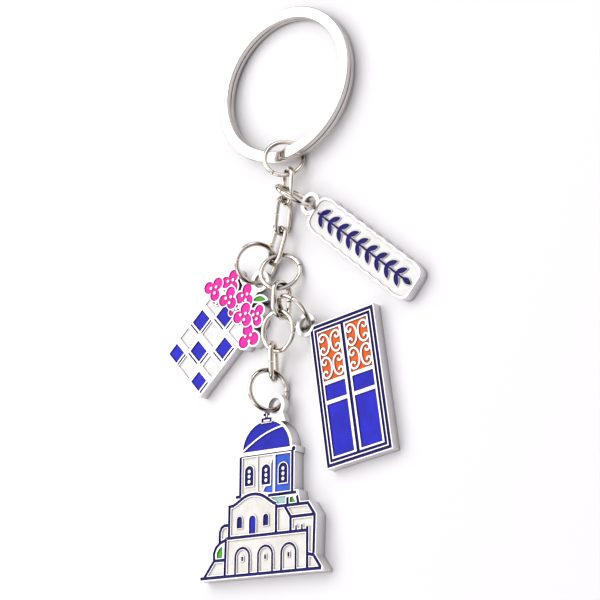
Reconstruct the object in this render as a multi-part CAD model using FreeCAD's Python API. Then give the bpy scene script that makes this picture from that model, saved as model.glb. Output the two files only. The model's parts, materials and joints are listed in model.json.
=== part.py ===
import FreeCAD, Part
import math
import os

os.makedirs("parts", exist_ok=True)
V = FreeCAD.Vector

# split ring, two flat coils
ring_outer = 15.0
ring_inner = 12.8
coil_height = 1.02
coil_gap = 0.04
ramp_start = -90.0
ramp_span = 24.0
tip_span = 9.0
ring_lean = 2.4

# wire pieces
jump_wire = 0.42
jump_radius = 3.55
top_jump_radius = 3.5
link_wire = 0.46
link_length = 6.6
link_width = 3.5
joint_slit = 0.12

# cast charms
plate_thick = 2.1
church_thick = 2.6
recess = 0.45
enamel_drop = 0.2
eyelet_under = 1.3
label_thick = 2.1
groove = 0.56
land = 0.15

# layout of the charms on the table: x, y, turn, seen from the split ring's centre
label_at = (19.4, -33.2, -36.9)
door_at = (18.2, -57.6, 11.8)
pot_at = (-14.5, -47.1, -44.5)
church_at = (0.5, -74.3, 3.0)

# lie of the loops: x, y, z of the centre, then yaw, pitch and roll in degrees
top_ring_lies = (1.4, -14.45, 2.55, 146, -23, 30)
link_1_lies = (2.55, -19.9, 2.55, 88, -1, 152)
label_ring_lies = (5.45, -22.5, 4.0, -40, -54, 95)
link_2_lies = (1.75, -25.15, 2.4, 81, -6, 87)
link_3_lies = (0.35, -30.45, 1.9, 71, -3, -15)
pot_ring_lies = (-3.05, -33.65, 3.4, -116, 0, -56)
middle_ring_lies = (1.75, -35.5, 2.3, 89, 21, 24)
link_4_lies = (3.05, -41.0, 3.2, 97, 7, 77)
door_ring_lies = (5.95, -43.6, 3.15, 21, -40, 32)
lower_ring_lies = (2.75, -46.65, 3.35, -61, 3, 6)
link_5_lies = (1.7, -51.95, 2.9, 87, -11, 114)
church_ring_lies = (1.5, -57.15, 3.6, 3, 63, 2)

# split ring centre seen from the middle of the whole footprint
ring_centre = (-3.6, 37.45, 0.0)


def rectangle(x0, y0, x1, y1):
    return outline([(x0, y0), (x1, y0), (x1, y1), (x0, y1)])


def outline(points):
    corners = [V(x, y, 0) for x, y in points]
    corners.append(corners[0])
    return Part.Face(Part.makePolygon(corners))


def disc(x, y, radius):
    circle = Part.makeCircle(radius, V(x, y, 0))
    return Part.Face(Part.Wire([circle]))


def lens(x0, y0, x1, y1, bulge, balance=0.3):
    dx = x1 - x0
    dy = y1 - y0
    long = math.hypot(dx, dy)
    nx = -dy / long
    ny = dx / long
    mx = (x0 + x1) / 2
    my = (y0 + y1) / 2
    a = V(x0, y0, 0)
    b = V(x1, y1, 0)
    left = Part.Arc(a, V(mx + nx * bulge, my + ny * bulge, 0), b).toShape()
    right = Part.Arc(b, V(mx - nx * bulge * balance, my - ny * bulge * balance, 0), a).toShape()
    return Part.Face(Part.Wire([left, right]))


def arch(x, y0, width, height):
    half = width / 2
    spring = y0 + height - half
    a = V(x - half, y0, 0)
    b = V(x + half, y0, 0)
    c = V(x + half, spring, 0)
    d = V(x - half, spring, 0)
    top = Part.Arc(c, V(x, spring + half, 0), d).toShape()
    return Part.Face(Part.Wire([Part.makeLine(a, b), Part.makeLine(b, c), top, Part.makeLine(d, a)]))


def curve(points):
    spline = Part.BSplineCurve()
    spline.interpolate([V(x, y, 0) for x, y in points])
    return [(p.x, p.y) for p in spline.discretize(Number=3 * len(points))]


def heading(a, b):
    return math.atan2(b[1] - a[1], b[0] - a[0])


def stroke(points, width):
    left = []
    right = []
    last = len(points) - 1
    for i, (x, y) in enumerate(points):
        back = heading(points[max(i - 1, 0)], points[max(i, 1)])
        ahead = heading(points[min(i, last - 1)], points[min(i + 1, last)])
        bend = math.remainder(ahead - back, 2 * math.pi) / 2
        reach = width / 2 / math.cos(bend)
        nx = -math.sin(back + bend) * reach
        ny = math.cos(back + bend) * reach
        left.append((x + nx, y + ny))
        right.append((x - nx, y - ny))
    return outline(left + right[::-1])


def prism(face, low, high):
    solid = face.extrude(V(0, 0, high - low))
    solid.translate(V(0, 0, low))
    return solid


def joined(shapes):
    if len(shapes) == 1:
        return shapes[0]
    return shapes[0].multiFuse(shapes[1:]).removeSplitter()


def fields(faces, keep_out, low, high):
    body = joined([prism(f, low, high) for f in faces])
    if keep_out:
        body = body.cut(joined([prism(f, low - 1, high + 1) for f in keep_out]))
    return body


def placed(shape, at):
    x, y, turn = at
    shape = shape.copy()
    shape.rotate(V(0, 0, 0), V(0, 0, 1), turn)
    shape.translate(V(x, y, 0))
    return shape


def save(name, shape):
    shape = shape.copy()
    shape.translate(V(*ring_centre))
    solids = shape.Solids
    out = solids[0] if len(solids) == 1 else Part.makeCompound(solids)
    out.exportStep("parts/" + name + ".step")


def eyelet(x, y, outer, low, high):
    return Part.makeCylinder(outer, high - low, V(x, y, low))


def drilled(body, x, y, hole):
    return body.cut(Part.makeCylinder(hole, 8, V(x, y, -2)))


def enamelled(body, top, parts):
    floor = top - recess
    colours = {}
    for name, faces, keep_out in parts:
        body = body.cut(fields(faces, keep_out, floor, top + 1))
        fill = fields(faces, keep_out, floor, top - enamel_drop)
        colours.setdefault(name, []).extend(fill.Solids)
    return body, colours


# ---------------------------------------------------------------- split ring
def ring_section(angle, low, high, inner, outer):
    a = math.radians(angle)
    ux = math.cos(a)
    uy = math.sin(a)
    corners = [(inner, low), (outer, low), (outer, high), (inner, high), (inner, low)]
    return Part.makePolygon([V(r * ux, r * uy, z) for r, z in corners])


def coil_sector(start, span, low):
    face = Part.Face(ring_section(start, low, low + coil_height, ring_inner, ring_outer))
    return face.revolve(V(0, 0, 0), V(0, 0, 1), span)


def coil_ramp():
    steps = 8
    rise = coil_height + coil_gap
    sections = []
    for i in range(steps + 1):
        share = i / steps
        lift = rise * (1 - math.cos(math.pi * share)) / 2
        angle = ramp_start - ramp_span * share
        sections.append(ring_section(angle, lift, lift + coil_height, ring_inner, ring_outer))
    return Part.makeLoft(sections, True, True)


def coil_tip():
    low = coil_height + coil_gap
    sections = []
    for i in range(4):
        share = i / 3
        angle = ramp_start + 0.6 + tip_span * (1 - share)
        high = low + coil_height * (1 - 0.6 * share)
        narrow = 0.45 * share
        sections.append(ring_section(angle, low, high, ring_inner + narrow, ring_outer - narrow))
    return Part.makeLoft(sections, True, True)


def split_ring():
    full = 360 - ramp_span
    low_coil = coil_sector(ramp_start, full - 1.5, 0)
    high_coil = coil_sector(ramp_start + tip_span + 0.6, full - tip_span - 0.6, coil_height + coil_gap)
    body = joined([low_coil, coil_ramp(), high_coil, coil_tip()])
    body.rotate(V(0, ring_outer, 0), V(1, 0, 0), -ring_lean)
    return body


# ---------------------------------------------------------------- wire pieces
def jump_ring(radius, joint_angle):
    ring = Part.makeTorus(radius, jump_wire)
    slit = Part.makeBox(2 * jump_wire + 1, joint_slit, 2 * jump_wire + 1)
    slit.translate(V(radius - jump_wire - 0.5, -joint_slit / 2, -jump_wire - 0.5))
    slit.rotate(V(0, 0, 0), V(0, 0, 1), joint_angle)
    return ring.cut(slit)


def oval_link(joint_side):
    half = (link_length - link_width) / 2
    bend = link_width / 2
    a = V(-half, bend, 0)
    b = V(half, bend, 0)
    c = V(half, -bend, 0)
    d = V(-half, -bend, 0)
    right = Part.Arc(b, V(half + bend, 0, 0), c).toShape()
    left = Part.Arc(d, V(-half - bend, 0, 0), a).toShape()
    spine = Part.Wire([Part.makeLine(a, b), right, Part.makeLine(c, d), left])
    circle = Part.Wire([Part.makeCircle(link_wire, a, V(1, 0, 0))])
    body = spine.makePipeShell([circle], True, False)
    slit = Part.makeBox(joint_slit, 2, 2)
    slit.translate(V(-joint_slit / 2, joint_side * bend - 1, -1))
    return body.cut(slit)


def posed(shape, pose):
    x, y, z, yaw, pitch, roll = pose
    shape = shape.copy()
    turn = FreeCAD.Rotation(yaw, pitch, roll)
    shape.Placement = FreeCAD.Placement(V(x, y, z), turn)
    return shape


# ---------------------------------------------------------------- name label
def label_outline(half_long, half_wide, wave):
    scallops = 9
    corner = 1.6
    step = (2 * half_long - 2 * corner) / scallops
    edges = []
    for side in (1, -1):
        for i in range(scallops):
            x0 = side * (-half_long + corner + i * step)
            x1 = x0 + side * step
            y = side * half_wide
            bump = V((x0 + x1) / 2, y + side * wave, 0)
            edges.append(Part.Arc(V(x0, y, 0), bump, V(x1, y, 0)).toShape())
        end = side * half_long
        inner = side * (half_long - corner)
        low = half_wide - corner
        bend = 0.3 * corner
        first = Part.Arc(V(inner, side * half_wide, 0),
                         V(end - side * bend, side * (half_wide - bend), 0), V(end, side * low, 0))
        second = Part.Arc(V(end, -side * low, 0),
                          V(end - side * bend, -side * (half_wide - bend), 0), V(inner, -side * half_wide, 0))
        edges.append(first.toShape())
        edges.append(Part.makeLine(V(end, side * low, 0), V(end, -side * low, 0)))
        edges.append(second.toShape())
    return Part.Face(Part.Wire(Part.sortEdges(edges)[0]))


def sprig_leaf(x, side, extra):
    reach = 1.1 * extra
    return lens(x - reach, -side * reach, x + 1.9 + reach, side * (1.75 + reach), 0.5 + extra, 1.0)


def sprig_marks(extra):
    marks = [rectangle(-12.6 - extra, -0.18 - extra, 12.0 + extra, 0.18 + extra)]
    marks.append(lens(10.9 - extra, 0, 13.0 + extra, 0, 0.5 + extra, 1.0))
    for i in range(9):
        for side in (-1, 1):
            marks.append(sprig_leaf(-12.0 + i * 2.62, side, extra))
    return marks


def label_charm():
    top = label_thick
    plate = prism(label_outline(13.9, 3.2, 0.22), 0, top)
    body = joined([plate, eyelet(-15.3, 0.45, 2.1, eyelet_under, top)])
    body = drilled(body, -15.3, 0.45, 1.35)
    white = label_outline(13.5, 2.85, 0.2)
    hole_rim = disc(-15.3, 0.45, 1.9)
    parts = [("label_enamel_white", [white], sprig_marks(0.12) + [hole_rim]),
             ("label_enamel_navy", sprig_marks(0), [])]
    return enamelled(body, top, parts)


# ---------------------------------------------------------------- door
def frame(half_x, half_y, width):
    outer = rectangle(-half_x, -half_y, half_x, half_y)
    inner = rectangle(-half_x + width, -half_y + width, half_x - width, half_y - width)
    return outer.cut(inner).Faces[0]


def scroll(x, y, side):
    top = [(0.95, 0.0), (0.88, 0.75), (0.5, 1.5), (-0.15, 1.85), (-0.75, 1.62), (-0.95, 1.05),
           (-0.6, 0.62), (-0.15, 0.75), (-0.15, 1.1)]
    half = [(x + side * px, y + py) for px, py in top]
    other = [(x + side * px, y - py) for px, py in top[1:]]
    return stroke(curve(other[::-1] + half), 0.34)


def door_panels():
    orange = []
    blue = []
    bars = []
    for side in (-1, 1):
        middle = side * 2.95 - 0.2
        orange.append(rectangle(middle - 2.25, 2.4, middle + 2.25, 11.3))
        blue.append(rectangle(middle - 2.2, -1.1, middle + 2.2, 1.75))
        blue.append(rectangle(middle - 2.2, -11.0, middle + 2.2, -1.75))
        for row in (4.7, 8.95):
            bars.append(scroll(middle - 1.15, row, 1))
            bars.append(scroll(middle + 1.15, row, -1))
    return orange, blue, bars


def door_charm():
    top = plate_thick
    plate = prism(rectangle(-7.1, -12.8, 6.8, 13.05), 0, top)
    body = joined([plate, eyelet(-7.75, 13.65, 2.1, eyelet_under, top)])
    body = drilled(body, -7.75, 13.65, 1.35)
    orange, blue, bars = door_panels()
    navy = [frame(6.75, 12.72, 0.58), frame(5.97, 11.95, 0.52), rectangle(-0.32, -11.6, 0.32, 11.6)]
    for face in navy:
        face.translate(V(-0.15, 0.12, 0))
    hole_rim = disc(-7.75, 13.65, 1.85)
    parts = [("door_enamel_navy", navy, [hole_rim]), ("door_enamel_blue", blue, []),
             ("door_enamel_orange", orange, bars)]
    return enamelled(body, top, parts)


# ---------------------------------------------------------------- flower pot
def petals(x, y, turn, size, extra):
    faces = [disc(x, y, 0.75 * size + extra)]
    for i in range(3):
        angle = math.radians(turn + 90 + 120 * i)
        px = x + size * math.cos(angle)
        py = y + size * math.sin(angle)
        faces.append(disc(px, py, 0.92 * size + extra))
    return faces


def pot_blossoms():
    front = [(-2.6, 8.75, 25, 1.2), (2.5, 8.85, 25, 1.25), (6.4, 6.95, 55, 1.3), (-6.8, 7.8, 0, 1.25)]
    back = [(-4.6, 11.2, 15, 1.2), (0.1, 11.5, 25, 1.2), (4.8, 10.7, 5, 1.1)]
    under = [(0.15, 8.2, 40, 0.75), (-4.6, 6.6, 20, 0.45)]
    return front + back + under


def pips(x, y, size):
    dots = [(0.1, 0.45), (-0.5, -0.3), (0.55, -0.35)]
    return [disc(x + px * size, y + py * size, 0.28) for px, py in dots]


def pot_cells():
    blue = []
    white = []
    columns = [(-6.05, -3.35), (-2.4, 0.75), (2.1, 4.8)]
    rows = [(-7.2, -4.7), (-3.55, -1.0), (0.35, 3.45), (4.6, 7.4)]
    for i, (x0, x1) in enumerate(columns):
        for j, (y0, y1) in enumerate(rows):
            if (i + j) % 2 == 0:
                blue.append(rectangle(x0, y0, x1, y1))
                blue.append(rectangle(x1 + 0.3, y0, x1 + 0.65, y1))
                if j > 0:
                    blue.append(rectangle(x0, y0 - 0.65, x1, y0 - 0.35))
            else:
                white.append(rectangle(x0 - 0.1, y0, x1 + 0.55, y1))
    return blue, white


def pot_rims():
    rims = []
    for x, y, turn, size in pot_blossoms()[:8]:
        rims += petals(x, y, turn, size, 0.3)
    return rims


def pot_charm():
    top = plate_thick
    leaves = [lens(-3.5, 13.3, -2.2, 12.9, 0.35), lens(2.15, 12.0, 4.5, 14.0, 0.8)]
    leaf_rims = [lens(-3.9, 13.2, -1.4, 12.5, 0.75), lens(1.9, 11.5, 4.9, 14.35, 1.2)]
    outer = [rectangle(-6.5, -7.75, 5.9, 9.0), rectangle(-0.4, 11.0, 1.9, 14.0)] + pot_rims() + leaf_rims
    body = joined([prism(f, 0, top) for f in outer] + [eyelet(0.8, 15.5, 2.0, eyelet_under, top)])
    under = Part.makeBox(6, 6, eyelet_under + 1, V(-2.2, 13.6, -1))
    body = drilled(body.cut(under), 0.8, 15.5, 1.3)
    parts = []
    covered = []
    for x, y, turn, size in pot_blossoms():
        parts.append(("pot_enamel_pink", petals(x, y, turn, size, 0), pips(x, y, size) + covered))
        covered = covered + petals(x, y, turn, size, 0.18)
    blue, white = pot_cells()
    parts.append(("pot_enamel_white", white, covered))
    parts.append(("pot_enamel_blue", blue, covered))
    parts.append(("pot_enamel_green", leaves, covered))
    return enamelled(body, top, parts)


# ---------------------------------------------------------------- church
def wall_lines():
    return [
        [(-13.8, -14.5), (12.8, -14.5)],
        [(-8.1, -7.9), (9.9, -7.9)],
        [(-8.25, -14.4), (-8.1, -8.1)],
        [(-8.1, -8.1), (-9.4, -8.6), (-10.3, -9.3), (-10.75, -10.3), (-10.7, -11.6)],
        [(-12.9, -14.4), (-10.7, -11.6), (-8.3, -11.6)],
        [(-9.5, -8.6), (-9.5, -6.7), (-9.1, -5.9), (-8.5, -5.6), (-7.5, -5.6)],
        [(-7.4, -7.9), (-7.4, -2.4), (-6.5, -2.3)],
        [(3.05, -7.9), (3.05, -2.85)],
        [(3.05, -3.3), (9.9, -3.3), (11.35, -5.35), (11.15, -11.9)],
        [(4.9, -3.4), (6.25, -5.35), (11.3, -5.35)],
        [(6.2, -5.3), (6.2, -7.9)],
        [(9.8, -7.2), (9.8, -14.4)],
        [(9.9, -11.9), (11.15, -12.2), (12.7, -14.4)],
        [(5.5, -3.2), (5.5, -1.9)],
        [(7.55, -1.8), (7.85, -3.2)],
        [(1.2, -1.2), (7.4, -1.2)],
        [(-5.0, -0.9), (-5.0, 6.1)],
        [(6.5, -1.1), (6.5, 6.1)],
        [(-6.0, -0.85), (-4.8, -0.85)],
    ]


def church_lines(extra):
    lines = [stroke(points, groove + 2 * extra) for points in wall_lines()]
    gable = [(-6.5, -2.3), (-5.4, -1.75), (-4.0, -1.0), (-2.2, -0.65),
             (-0.5, -0.9), (1.0, -1.65), (2.3, -2.5), (3.05, -2.8)]
    lines.append(stroke(curve(gable), groove + 2 * extra))
    lines.append(rectangle(-4.9 - extra, 5.99 - extra, 6.6 + extra, 6.21 + extra))
    lines.append(disc(6.75, 6.4, 0.42 + extra))
    return lines


def arch_line(x, extra):
    outer = arch(x, -14.45, 3.55 + 2 * extra, 4.85 + extra)
    inner = arch(x, -14.45, 2.65 - 2 * extra, 4.4 - extra)
    return outer.cut(inner).Faces[0]


def church_openings(extra):
    shapes = []
    for x in (-4.35, 0.72, 5.8):
        shapes.append(arch_line(x, extra))
        shapes.append(rectangle(x - 0.22 - extra, -12.1 - extra, x + 0.22 + extra, -11.3 + extra))
    for x in (-5.1, 0.75):
        shapes.append(arch(x, -6.35 - extra, 1.2 + 2 * extra, 2.05 + 2 * extra))
    for x in (7.4, 8.65):
        shapes.append(arch(x, -7.8 - extra, 0.4 + 2 * extra, 1.0 + 2 * extra))
    return shapes


def tower_windows(extra):
    windows = []
    for x, drop in ((-3.05, 0), (0.7, -0.1), (4.45, -0.2)):
        windows.append(arch(x, 0.85 + drop - extra, 1.95 + 2 * extra, 3.55 + 2 * extra))
    return windows


def window_dots():
    dots = []
    for x, drop in ((-3.05, 0), (0.7, -0.1), (4.45, -0.2)):
        for y in (1.6, 2.5, 3.4):
            dots.append(disc(x, y + drop, 0.31))
    return dots


def dome_face(half_wide, height):
    left = V(0.7 - half_wide, 6.85, 0)
    right = V(0.7 + half_wide, 6.85, 0)
    oval = Part.Ellipse(V(0.7, 6.85, 0), half_wide, height)
    top = Part.Arc(oval, 0, math.pi).toShape()
    return Part.Face(Part.Wire([Part.makeLine(left, right), top]))


def finial(extra):
    foot = rectangle(-0.45 - extra, 11.7 - extra, 1.85 + extra, 12.5 + extra)
    stem = rectangle(0.35 - extra, 12.4, 1.05 + extra, 13.6 + extra)
    arms = rectangle(0.0 - extra, 12.85 - extra, 1.4 + extra, 13.3 + extra)
    return [foot, stem, arms]


def plate_faces():
    block = [(-14.2, -14.95), (13.2, -14.95), (13.2, -14.4), (11.6, -12.1), (11.8, -5.2), (10.2, -2.9),
             (8.3, -2.9), (7.95, -1.6), (7.8, -0.75), (-6.4, -0.4), (-6.4, -1.35), (-7.85, -2.0),
             (-7.85, -5.15), (-8.7, -5.2), (-9.6, -5.7), (-9.95, -6.6), (-9.95, -8.3), (-10.8, -9.1),
             (-11.2, -10.2), (-11.15, -11.4), (-13.2, -14.05), (-14.2, -14.05)]
    tower = rectangle(-5.4, -1.5, 6.95, 7.0)
    cornice = rectangle(-5.6, 5.9, 7.25, 6.95)
    return [outline(block), tower, cornice, dome_face(5.7, 5.6)] + finial(0.3)


def church_walls():
    return outline([(-13.0, -14.4), (12.6, -14.4), (11.3, -12.0), (11.4, -5.3), (9.9, -3.2), (3.05, -3.2),
                    (1.0, -1.5), (-2.2, -0.7), (-5.4, -1.7), (-7.4, -2.4), (-7.5, -5.6), (-9.4, -5.8),
                    (-9.5, -8.2), (-8.2, -8.2), (-8.2, -11.6), (-10.7, -11.6)])


def church_colours():
    gaps = church_lines(land) + church_openings(0.1) + tower_windows(land)
    door = arch(-2.2, -7.5, 1.5, 3.15)
    door_gap = arch(-2.2, -7.75, 1.8, 3.55)
    bays = rectangle(-5.0, -0.4, 2.45, 6.0)
    blue_bay = rectangle(2.75, -1.0, 6.3, 5.75)
    shadow = outline([(2.25, 5.2), (2.25, -0.85), (0.1, -0.45), (0.65, 0.45), (1.85, 0.5), (1.85, 4.2)])
    shadow_gap = outline([(2.35, 5.4), (2.35, -1.0), (-0.15, -0.6), (0.5, 0.6), (1.73, 0.6), (1.73, 4.3)])
    posts = [rectangle(-1.3, -0.9, -1.1, 6.0), rectangle(2.3, -1.1, 2.65, 6.0)]
    aqua = outline([(1.3, -1.55), (5.1, -1.55), (5.1, -2.95), (3.5, -2.95), (2.7, -2.3)])
    green = outline([(5.95, -2.95), (6.0, -2.0), (6.6, -1.85), (7.25, -2.95)])
    bush = outline([(-10.15, -11.2), (-10.15, -10.3), (-9.7, -9.6), (-8.85, -9.1), (-8.85, -11.2)])
    hill = outline([(-5.2, -1.2), (-2.2, -0.1), (1.3, -1.3), (1.3, -3.0), (-5.2, -3.0)])
    band = stroke(curve([(-4.7, 6.95), (-2.0, 8.6), (0.5, 9.75), (2.5, 10.35), (4.4, 10.7)]), 0.28)
    marks = [rectangle(0.0, 11.85, 1.4, 12.15), rectangle(0.6, 12.6, 0.8, 13.3)]
    navy = church_lines(0) + church_openings(0) + tower_windows(0) + finial(0)
    return [
        ("church_enamel_navy", navy, window_dots() + marks),
        ("church_enamel_royal_blue", [dome_face(5.25, 5.1)], [band] + finial(0.12)),
        ("church_enamel_royal_blue", [door], []),
        ("church_enamel_light_blue", [blue_bay, shadow], gaps + posts),
        ("church_enamel_aqua", [aqua], gaps),
        ("church_enamel_green", [green, bush], gaps),
        ("church_enamel_cream", [church_walls()], gaps + [door_gap]),
        ("church_enamel_cream", [bays], gaps + posts + [shadow_gap, hill]),
    ]


def church_charm():
    top = church_thick
    low = top - 1.3
    neck = outline([(1.4, 12.0), (4.9, 11.4), (4.2, 13.4), (1.2, 13.2)])
    solids = [prism(f, 0, top) for f in plate_faces()]
    solids += [prism(neck, low, top), eyelet(2.5, 14.45, 2.15, low, top)]
    body = drilled(joined(solids), 2.5, 14.45, 1.4)
    return enamelled(body, top, church_colours())


# ---------------------------------------------------------------- whole keychain
def save_loops():
    save("jump_ring_top", posed(jump_ring(top_jump_radius, 93), top_ring_lies))
    save("jump_ring_label", posed(jump_ring(jump_radius, 35), label_ring_lies))
    save("jump_ring_pot", posed(jump_ring(jump_radius, -80), pot_ring_lies))
    save("jump_ring_middle", posed(jump_ring(jump_radius, -60), middle_ring_lies))
    save("jump_ring_door", posed(jump_ring(jump_radius, 20), door_ring_lies))
    save("jump_ring_lower", posed(jump_ring(jump_radius, 50), lower_ring_lies))
    save("jump_ring_church", posed(jump_ring(jump_radius, 0), church_ring_lies))
    save("chain_link_1", posed(oval_link(-1), link_1_lies))
    save("chain_link_2", posed(oval_link(1), link_2_lies))
    save("chain_link_3", posed(oval_link(1), link_3_lies))
    save("chain_link_4", posed(oval_link(-1), link_4_lies))
    save("chain_link_5", posed(oval_link(1), link_5_lies))


def save_charm(node, charm, at):
    body, colours = charm
    save(node, placed(body, at))
    for name, solids in colours.items():
        save(name, placed(Part.makeCompound(solids), at))


save("split_ring", split_ring())
save_loops()
save_charm("label_plate", label_charm(), label_at)
save_charm("door_plate", door_charm(), door_at)
save_charm("pot_plate", pot_charm(), pot_at)
save_charm("church_plate", church_charm(), church_at)
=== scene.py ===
import json
import math

import bmesh
import bpy
import numpy as np
from mathutils import Matrix, Vector


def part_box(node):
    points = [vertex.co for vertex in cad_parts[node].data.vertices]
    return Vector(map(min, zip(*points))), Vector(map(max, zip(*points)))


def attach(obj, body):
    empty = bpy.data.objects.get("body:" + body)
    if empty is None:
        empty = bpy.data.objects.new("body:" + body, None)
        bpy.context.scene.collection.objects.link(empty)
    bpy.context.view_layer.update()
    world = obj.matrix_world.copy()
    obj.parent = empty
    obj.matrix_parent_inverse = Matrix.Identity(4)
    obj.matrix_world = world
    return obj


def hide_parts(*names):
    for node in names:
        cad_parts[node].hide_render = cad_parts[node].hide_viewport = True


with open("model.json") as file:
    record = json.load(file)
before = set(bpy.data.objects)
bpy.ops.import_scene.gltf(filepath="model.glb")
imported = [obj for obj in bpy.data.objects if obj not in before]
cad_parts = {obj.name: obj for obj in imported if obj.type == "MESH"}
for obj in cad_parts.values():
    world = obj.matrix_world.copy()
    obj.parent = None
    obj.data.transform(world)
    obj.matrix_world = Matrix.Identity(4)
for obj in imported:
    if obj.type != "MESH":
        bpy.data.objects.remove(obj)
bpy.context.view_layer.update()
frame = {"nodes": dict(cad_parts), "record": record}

MM = 0.001
CAMERA_PLACE = (0.1992, -0.08073, 0.24827)
CAMERA_TARGET = (0.00104, -0.00305, 0.0)
CAMERA_ROLL = -70.62
CAMERA_LENS = 110.97
nodes = frame["nodes"]
body_of_node = {}
for body, members in frame["record"]["behaviour"]["bodies"].items():
    for member in members:
        body_of_node[member] = body
slot_of_node = {row["node"]: row["material_slot"] for row in frame["record"]["subparts"]}


# ---------------------------------------------------------------- camera
def look_from(place, target, roll_degrees):
    away = (Vector(place) - Vector(target)).normalized()
    turn = away.to_track_quat("Z", "Y").to_matrix().to_4x4()
    return Matrix.Translation(Vector(place)) @ turn @ Matrix.Rotation(math.radians(roll_degrees), 4, "Z")


camera_data = bpy.data.cameras.new("studio_camera")
camera_data.sensor_width = 36.0
camera_data.lens = CAMERA_LENS
camera_data.clip_start = 0.01
camera_data.clip_end = 20.0
camera = bpy.data.objects.new("studio_camera", camera_data)
bpy.context.scene.collection.objects.link(camera)
camera.matrix_world = look_from(CAMERA_PLACE, CAMERA_TARGET, CAMERA_ROLL)
bpy.context.scene.camera = camera


# ---------------------------------------------------------------- node helpers
class Shade:
    """A node material built from short calls."""

    def __init__(self, name):
        self.material = bpy.data.materials.new(name)
        self.material.use_nodes = True
        self.tree = self.material.node_tree
        self.shader = self.tree.nodes["Principled BSDF"]
        place = self.tree.nodes.new("ShaderNodeTexCoord")
        self.place = place.outputs["Object"]

    def put(self, **values):
        for key, value in values.items():
            self.shader.inputs[key.replace("_", " ")].default_value = value

    def noise(self, scale, detail=3.0, rough=0.5, stretch=None):
        place = self.place
        if stretch:
            mapping = self.tree.nodes.new("ShaderNodeMapping")
            mapping.inputs["Scale"].default_value = stretch
            self.tree.links.new(place, mapping.inputs["Vector"])
            place = mapping.outputs["Vector"]
        noise = self.tree.nodes.new("ShaderNodeTexNoise")
        noise.inputs["Scale"].default_value = scale
        noise.inputs["Detail"].default_value = detail
        noise.inputs["Roughness"].default_value = rough
        self.tree.links.new(place, noise.inputs["Vector"])
        return noise.outputs["Fac"]

    def span(self, source, low, high, out_low, out_high):
        node = self.tree.nodes.new("ShaderNodeMapRange")
        node.inputs["From Min"].default_value = low
        node.inputs["From Max"].default_value = high
        node.inputs["To Min"].default_value = out_low
        node.inputs["To Max"].default_value = out_high
        self.tree.links.new(source, node.inputs["Value"])
        return node.outputs["Result"]

    def blend(self, share, first, second):
        node = self.tree.nodes.new("ShaderNodeMix")
        node.data_type = "RGBA"
        self.tree.links.new(share, node.inputs["Factor"])
        for value, socket in ((first, node.inputs[6]), (second, node.inputs[7])):
            if isinstance(value, tuple):
                socket.default_value = (*value, 1.0)
            else:
                self.tree.links.new(value, socket)
        return node.outputs[2]

    def painted_shade_mask(self, reach):
        """Mask for painted shade: 0 in corners and along the foot of a wall, 1 on open surface."""
        node = self.tree.nodes.new("ShaderNodeAmbientOcclusion")
        node.samples = 8
        node.inputs["Distance"].default_value = reach
        return self.span(node.outputs["AO"], 0.45, 0.98, 0.0, 1.0)

    def join(self, source, key):
        self.tree.links.new(source, self.shader.inputs[key])

    def bump(self, height, strength, distance):
        node = self.tree.nodes.new("ShaderNodeBump")
        node.inputs["Strength"].default_value = strength
        node.inputs["Distance"].default_value = distance
        self.tree.links.new(height, node.inputs["Height"])
        self.join(node.outputs["Normal"], "Normal")


def plated_metal(name, colour, shadow, rough_low, rough_high, grain):
    shade = Shade(name)
    shade.put(Metallic=1.0)
    cloud = shade.span(shade.noise(260.0, 2.0, 0.5), 0.3, 0.7, 0.0, 1.0)
    tone = shade.blend(cloud, colour, tuple(0.95 * c for c in colour))
    # Painted shade: the ambient-occlusion mask lays the shadow colour into corners, crevices and wire
    # crossings.
    shade.join(shade.blend(shade.painted_shade_mask(0.0011), shadow, tone), "Base Color")
    scuffs = shade.noise(900.0, 6.0, 0.7, (1.0, 0.25, 1.0))
    shade.join(shade.span(scuffs, 0.3, 0.7, rough_low, rough_high), "Roughness")
    shade.bump(shade.noise(grain, 2.0, 0.5), 0.03, 0.00001)
    return shade.material


def enamel(name, colour, mottle_and_shade):
    shade = Shade(name)
    shade.put(IOR=1.5, Specular_IOR_Level=0.12)
    cloud = shade.span(shade.noise(340.0, 4.0, 0.55), 0.3, 0.7, 0.0, 1.0)
    # The darker colour does two things: half of it mottles the enamel at random, which is real tone, and all
    # of it is painted shade along recess edges and corners.
    tone = shade.blend(cloud, colour, tuple(0.5 * (a + b) for a, b in zip(colour, mottle_and_shade)))
    shade.join(shade.blend(shade.painted_shade_mask(0.00045), mottle_and_shade, tone), "Base Color")
    shade.join(shade.span(shade.noise(700.0, 4.0, 0.6), 0.3, 0.7, 0.16, 0.3), "Roughness")
    shade.bump(shade.noise(420.0, 3.0, 0.5), 0.35, 0.00004)
    return shade.material


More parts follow.
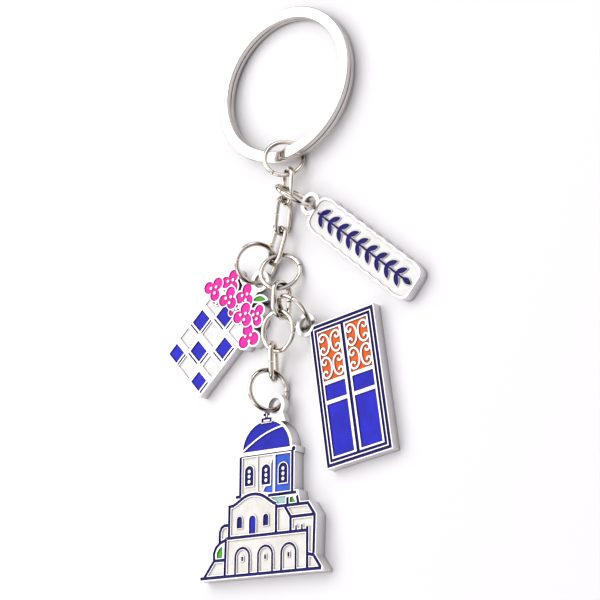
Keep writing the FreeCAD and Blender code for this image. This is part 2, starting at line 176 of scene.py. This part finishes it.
looks = {
    "ring_steel": plated_metal("split_ring_nickel", (0.66, 0.62, 0.595), (0.20, 0.165, 0.15),
                               0.08, 0.17, 2600.0),
    "chain_metal": plated_metal("chain_nickel", (0.82, 0.75, 0.66), (0.09, 0.058, 0.036), 0.05, 0.11, 3000.0),
    "charm_metal": plated_metal("charm_nickel", (0.70, 0.68, 0.69), (0.46, 0.43, 0.43), 0.32, 0.44, 2200.0),
    "enamel_white": enamel("enamel_white", (0.965, 0.965, 0.945), (0.66, 0.64, 0.62)),
    "enamel_cream": enamel("enamel_cream", (0.95, 0.925, 0.875), (0.62, 0.57, 0.51)),
    "enamel_navy": enamel("enamel_navy", (0.006, 0.004, 0.19), (0.002, 0.001, 0.07)),
    "enamel_blue": enamel("enamel_blue", (0.020, 0.022, 0.64), (0.005, 0.003, 0.20)),
    "enamel_royal_blue": enamel("enamel_royal_blue", (0.015, 0.020, 0.54), (0.004, 0.003, 0.17)),
    "enamel_light_blue": enamel("enamel_light_blue", (0.05, 0.15, 0.78), (0.02, 0.05, 0.40)),
    "enamel_orange": enamel("enamel_orange", (0.88, 0.155, 0.018), (0.55, 0.06, 0.006)),
    "enamel_pink": enamel("enamel_pink", (0.93, 0.03, 0.46), (0.62, 0.01, 0.25)),
    "enamel_green": enamel("enamel_green", (0.08, 0.50, 0.02), (0.02, 0.22, 0.01)),
    "enamel_aqua": enamel("enamel_aqua", (0.45, 0.74, 0.69), (0.25, 0.48, 0.46)),
}


# ---------------------------------------------------------------- mesh helpers
def add_piece(name, mesh, node):
    piece = bpy.data.objects.new(name, mesh)
    bpy.context.scene.collection.objects.link(piece)
    mesh.materials.clear()
    mesh.materials.append(looks[slot_of_node[node]])
    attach(piece, body_of_node[node])
    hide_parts(node)
    return piece


def node_points(node):
    mesh = nodes[node].data
    points = np.zeros(len(mesh.vertices) * 3)
    mesh.vertices.foreach_get("co", points)
    return points.reshape(-1, 3)


def own_axes(points):
    """Middle of a flat loop and its axes: long, short, normal."""
    spread = np.cov((points - points.mean(0)).T)
    values, vectors = np.linalg.eigh(spread)
    axes = vectors[:, ::-1]
    if np.linalg.det(axes) < 0:
        axes[:, 2] = -axes[:, 2]
    local = points @ axes
    middle = (local.max(0) + local.min(0)) / 2
    return axes @ middle, axes, local - middle


def to_matrix(middle, axes):
    matrix = Matrix([list(row) for row in axes]).to_4x4()
    matrix.translation = Vector(middle)
    return matrix


def swept(name, rings):
    """A skin over a row of equal rings of points, with capped ends."""
    sides = len(rings[0])
    vertices = [tuple(p) for ring in rings for p in ring]
    faces = []
    last = len(rings) - 1
    for i in range(last):
        j = i + 1
        for k in range(sides):
            n = (k + 1) % sides
            faces.append((i * sides + k, i * sides + n, j * sides + n, j * sides + k))
    faces.append(tuple(range(sides))[::-1])
    faces.append(tuple(last * sides + k for k in range(sides)))
    mesh = bpy.data.meshes.new(name)
    mesh.from_pydata(vertices, [], faces)
    mesh.polygons.foreach_set("use_smooth", [len(p.vertices) == 4 for p in mesh.polygons])
    mesh.update()
    return mesh


# ---------------------------------------------------------------- wire loops
WIRE_SIDES = 28
LOOP_STEPS = 132
END_ROUND = 0.10 * MM
SLIT = 0.12 * MM


def loop_place(run, straight, bend):
    """Place on the centre line of a loop and the direction that points out of it."""
    half_turn = math.pi * bend
    if run < straight:
        return (run, bend), math.pi / 2
    run -= straight
    if run < half_turn:
        angle = math.pi / 2 - run / bend
        return (straight + bend * math.cos(angle), bend * math.sin(angle)), angle
    run -= half_turn
    if run < 2 * straight:
        return (straight - run, -bend), -math.pi / 2
    run -= 2 * straight
    if run < half_turn:
        angle = -math.pi / 2 - run / bend
        return (-straight + bend * math.cos(angle), bend * math.sin(angle)), angle
    return (run - half_turn - straight, bend), math.pi / 2


def joint_start(local, straight, bend):
    """How far round the loop its butt joint is: the CAD mesh has twice the points there."""
    angles = np.degrees(np.arctan2(local[:, 1], local[:, 0]))
    away = np.abs((angles[:, None] - angles[None, :] + 180) % 360 - 180)
    near = away < 3.0
    best = near.sum(1).argmax()
    offsets = (angles[near[best]] - angles[best] + 180) % 360 - 180
    angle = math.radians(angles[best] + offsets.mean())
    if straight > 0:
        return 0.0 if math.sin(angle) > 0 else 2 * straight + math.pi * bend
    return ((math.pi / 2 - angle) % (2 * math.pi)) * bend


def wire_loop(node):
    """An open-joint wire loop: the wire bends round to a butt joint whose cut ends are slightly rounded."""
    middle, axes, local = own_axes(node_points(node))
    wire = local[:, 2].max()
    half_long = local[:, 0].max() - wire
    bend = local[:, 1].max() - wire
    if half_long < 1.08 * bend:
        bend = half_long
    straight = half_long - bend
    total = 2 * math.pi * bend + 4 * straight
    start = joint_start(local, straight, bend)
    end_steps = [0.0, 0.12, 0.35, 0.7, 1.0]
    runs = [SLIT / 2 + END_ROUND * step for step in end_steps]
    inner = total - 2 * runs[-1]
    runs += [runs[-1] + inner * i / LOOP_STEPS for i in range(1, LOOP_STEPS)]
    runs += [total - SLIT / 2 - END_ROUND * step for step in end_steps[::-1]]
    up = Vector((0.0, 0.0, 1.0))
    turns = [2 * math.pi * k / WIRE_SIDES for k in range(WIRE_SIDES)]
    rings = []
    for run in runs:
        place, outward = loop_place((start + run) % total, straight, bend)
        depth = (min(run, total - run) - SLIT / 2) / END_ROUND
        radius = wire * (0.80 + 0.20 * math.sqrt(1 - (1 - min(1.0, depth)) ** 2))
        out = Vector((math.cos(outward), math.sin(outward), 0.0))
        centre = Vector((*place, 0.0))
        rings.append([centre + out * radius * math.cos(a) + up * radius * math.sin(a) for a in turns])
    mesh = swept(node + "_wire", rings)
    mesh.transform(to_matrix(middle, axes))
    add_piece(node + "_wire", mesh, node)


# ---------------------------------------------------------------- split ring
def band_profile(inner, outer, height, corner):
    """A flat band's cross-section with rounded corners: distance from the ring's middle, height."""
    profile = []
    for cx, cz, first in ((outer, height, 0), (inner, height, 90), (inner, 0, 180), (outer, 0, 270)):
        px = cx - corner if cx == outer else cx + corner
        pz = cz - corner if cz == height else cz + corner
        for step in range(5):
            a = math.radians(first + 22.5 * step)
            profile.append((px + corner * math.cos(a), pz + corner * math.sin(a)))
    return profile


def split_ring():
    """Two flat coils of one band: the upper coil ramps down into the lower one beside its own start."""
    node = "split_ring"
    low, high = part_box(node)
    outer = (high.x - low.x) / 2
    band = 2.2 * MM
    inner = outer - band
    coil = 1.02 * MM
    rise = 1.06 * MM
    ramp = 24.0
    first = -89.0
    tip = 9.0
    last = 604.0
    steps = 460
    rings = []
    for i in range(steps + 1):
        angle = first + (last - first) * i / steps
        ramp_share = min(1.0, max(0.0, (270.0 - angle) / ramp))
        lift = rise * (1 - math.cos(math.pi * ramp_share)) / 2
        slim = max(0.0, 1 - (angle - first) / tip)
        tail = max(0.0, 1 - (last - angle) / 3.0)
        side = (0.45 * slim + 0.12 * tail) * MM
        height = coil * (1 - 0.6 * slim - 0.1 * tail)
        a = math.radians(angle)
        profile = band_profile(inner + side, outer - side, height, 0.2 * MM)
        rings.append([Vector((r * math.cos(a), r * math.sin(a), z + lift)) for r, z in profile])
    mesh = swept(node + "_band", rings)
    lean = math.asin((high.z - low.z - rise - coil) / (2 * outer))
    centre = Vector(((low.x + high.x) / 2, high.y - outer, low.z))
    hinge = centre + Vector((0, outer, 0))
    turn = Matrix.Translation(hinge) @ Matrix.Rotation(-lean, 4, "X") @ Matrix.Translation(-hinge)
    mesh.transform(turn @ Matrix.Translation(centre))
    add_piece(node + "_band", mesh, node)


# ---------------------------------------------------------------- cast plates and enamel
def smoothed_copy(node, ending, edge_width, edge_steps):
    """The node's own shape, made of its flat outlines, with worn edges."""
    shape = bmesh.new()
    shape.from_mesh(nodes[node].data)
    bmesh.ops.remove_doubles(shape, verts=shape.verts, dist=0.2e-6)
    bmesh.ops.dissolve_limit(shape, angle_limit=math.radians(1.0), verts=shape.verts, edges=shape.edges,
                             delimit={"NORMAL"})
    mesh = bpy.data.meshes.new(node + ending)
    shape.to_mesh(mesh)
    shape.free()
    mesh.polygons.foreach_set("use_smooth", [True] * len(mesh.polygons))
    piece = add_piece(node + ending, mesh, node)
    bevel = piece.modifiers.new("worn_edges", "BEVEL")
    bevel.width = edge_width
    bevel.segments = edge_steps
    bevel.limit_method = "ANGLE"
    bevel.angle_limit = math.radians(35)
    normals = piece.modifiers.new("even_normals", "WEIGHTED_NORMAL")
    normals.keep_sharp = True
    normals.weight = 80


def cast_plate(node):
    smoothed_copy(node, "_casting", 0.07 * MM, 2)


def enamel_fill(node):
    smoothed_copy(node, "_fill", 0.03 * MM, 1)


split_ring()
for node in sorted(nodes):
    if node.startswith(("jump_ring", "chain_link")):
        wire_loop(node)
    elif node.endswith("_plate"):
        cast_plate(node)
    elif "_enamel_" in node:
        enamel_fill(node)


# ---------------------------------------------------------------- floor and light
def floor():
    size = 3.0
    corners = [(-size, -size, 0), (size, -size, 0), (size, size, 0), (-size, size, 0)]
    mesh = bpy.data.meshes.new("table")
    mesh.from_pydata(corners, [], [(0, 1, 2, 3)])
    table = bpy.data.objects.new("table", mesh)
    bpy.context.scene.collection.objects.link(table)
    shade = Shade("pale_table")
    shade.put(Base_Color=(0.955, 0.95, 0.955, 1.0), Roughness=0.8)
    mesh.materials.append(shade.material)


def soft_light(name, place, size, power, colour):
    data = bpy.data.lights.new(name, "AREA")
    data.shape = "RECTANGLE"
    data.size = size[0]
    data.size_y = size[1]
    data.energy = power
    data.color = colour
    lamp = bpy.data.objects.new(name, data)
    bpy.context.scene.collection.objects.link(lamp)
    lamp.matrix_world = look_from(place, (0.0, 0.0, 0.0), 0.0)


def studio():
    """A white room with a dark horizon for the wire to reflect, and an overhead panel for the flat tops."""
    world = bpy.data.worlds.new("studio")
    world.use_nodes = True
    tree = world.node_tree
    direction = tree.nodes.new("ShaderNodeTexCoord")
    split = tree.nodes.new("ShaderNodeSeparateXYZ")
    ramp = tree.nodes.new("ShaderNodeValToRGB")
    tree.links.new(direction.outputs["Generated"], split.inputs["Vector"])
    tree.links.new(split.outputs["Z"], ramp.inputs["Fac"])
    tree.links.new(ramp.outputs["Color"], tree.nodes["Background"].inputs["Color"])
    low_end, high_end = ramp.color_ramp.elements
    low_end.position = 0.36
    low_end.color = (0.03, 0.019, 0.012, 1.0)
    high_end.position = 0.60
    high_end.color = (0.76, 0.745, 0.79, 1.0)
    bpy.context.scene.world = world
    soft_light("key_panel", (-0.50, 0.24, 0.62), (0.9, 0.9), 4.7, (1.0, 0.985, 0.955))
    soft_light("left_panel", (-0.35, -0.55, 0.45), (0.5, 0.3), 0.9, (1.0, 0.98, 0.96))
    soft_light("right_panel", (0.30, 0.60, 0.40), (0.5, 0.3), 0.8, (0.96, 0.97, 1.0))
    bpy.context.scene.view_settings.view_transform = "Standard"
    bpy.context.scene.view_settings.look = "None"


floor()
studio()
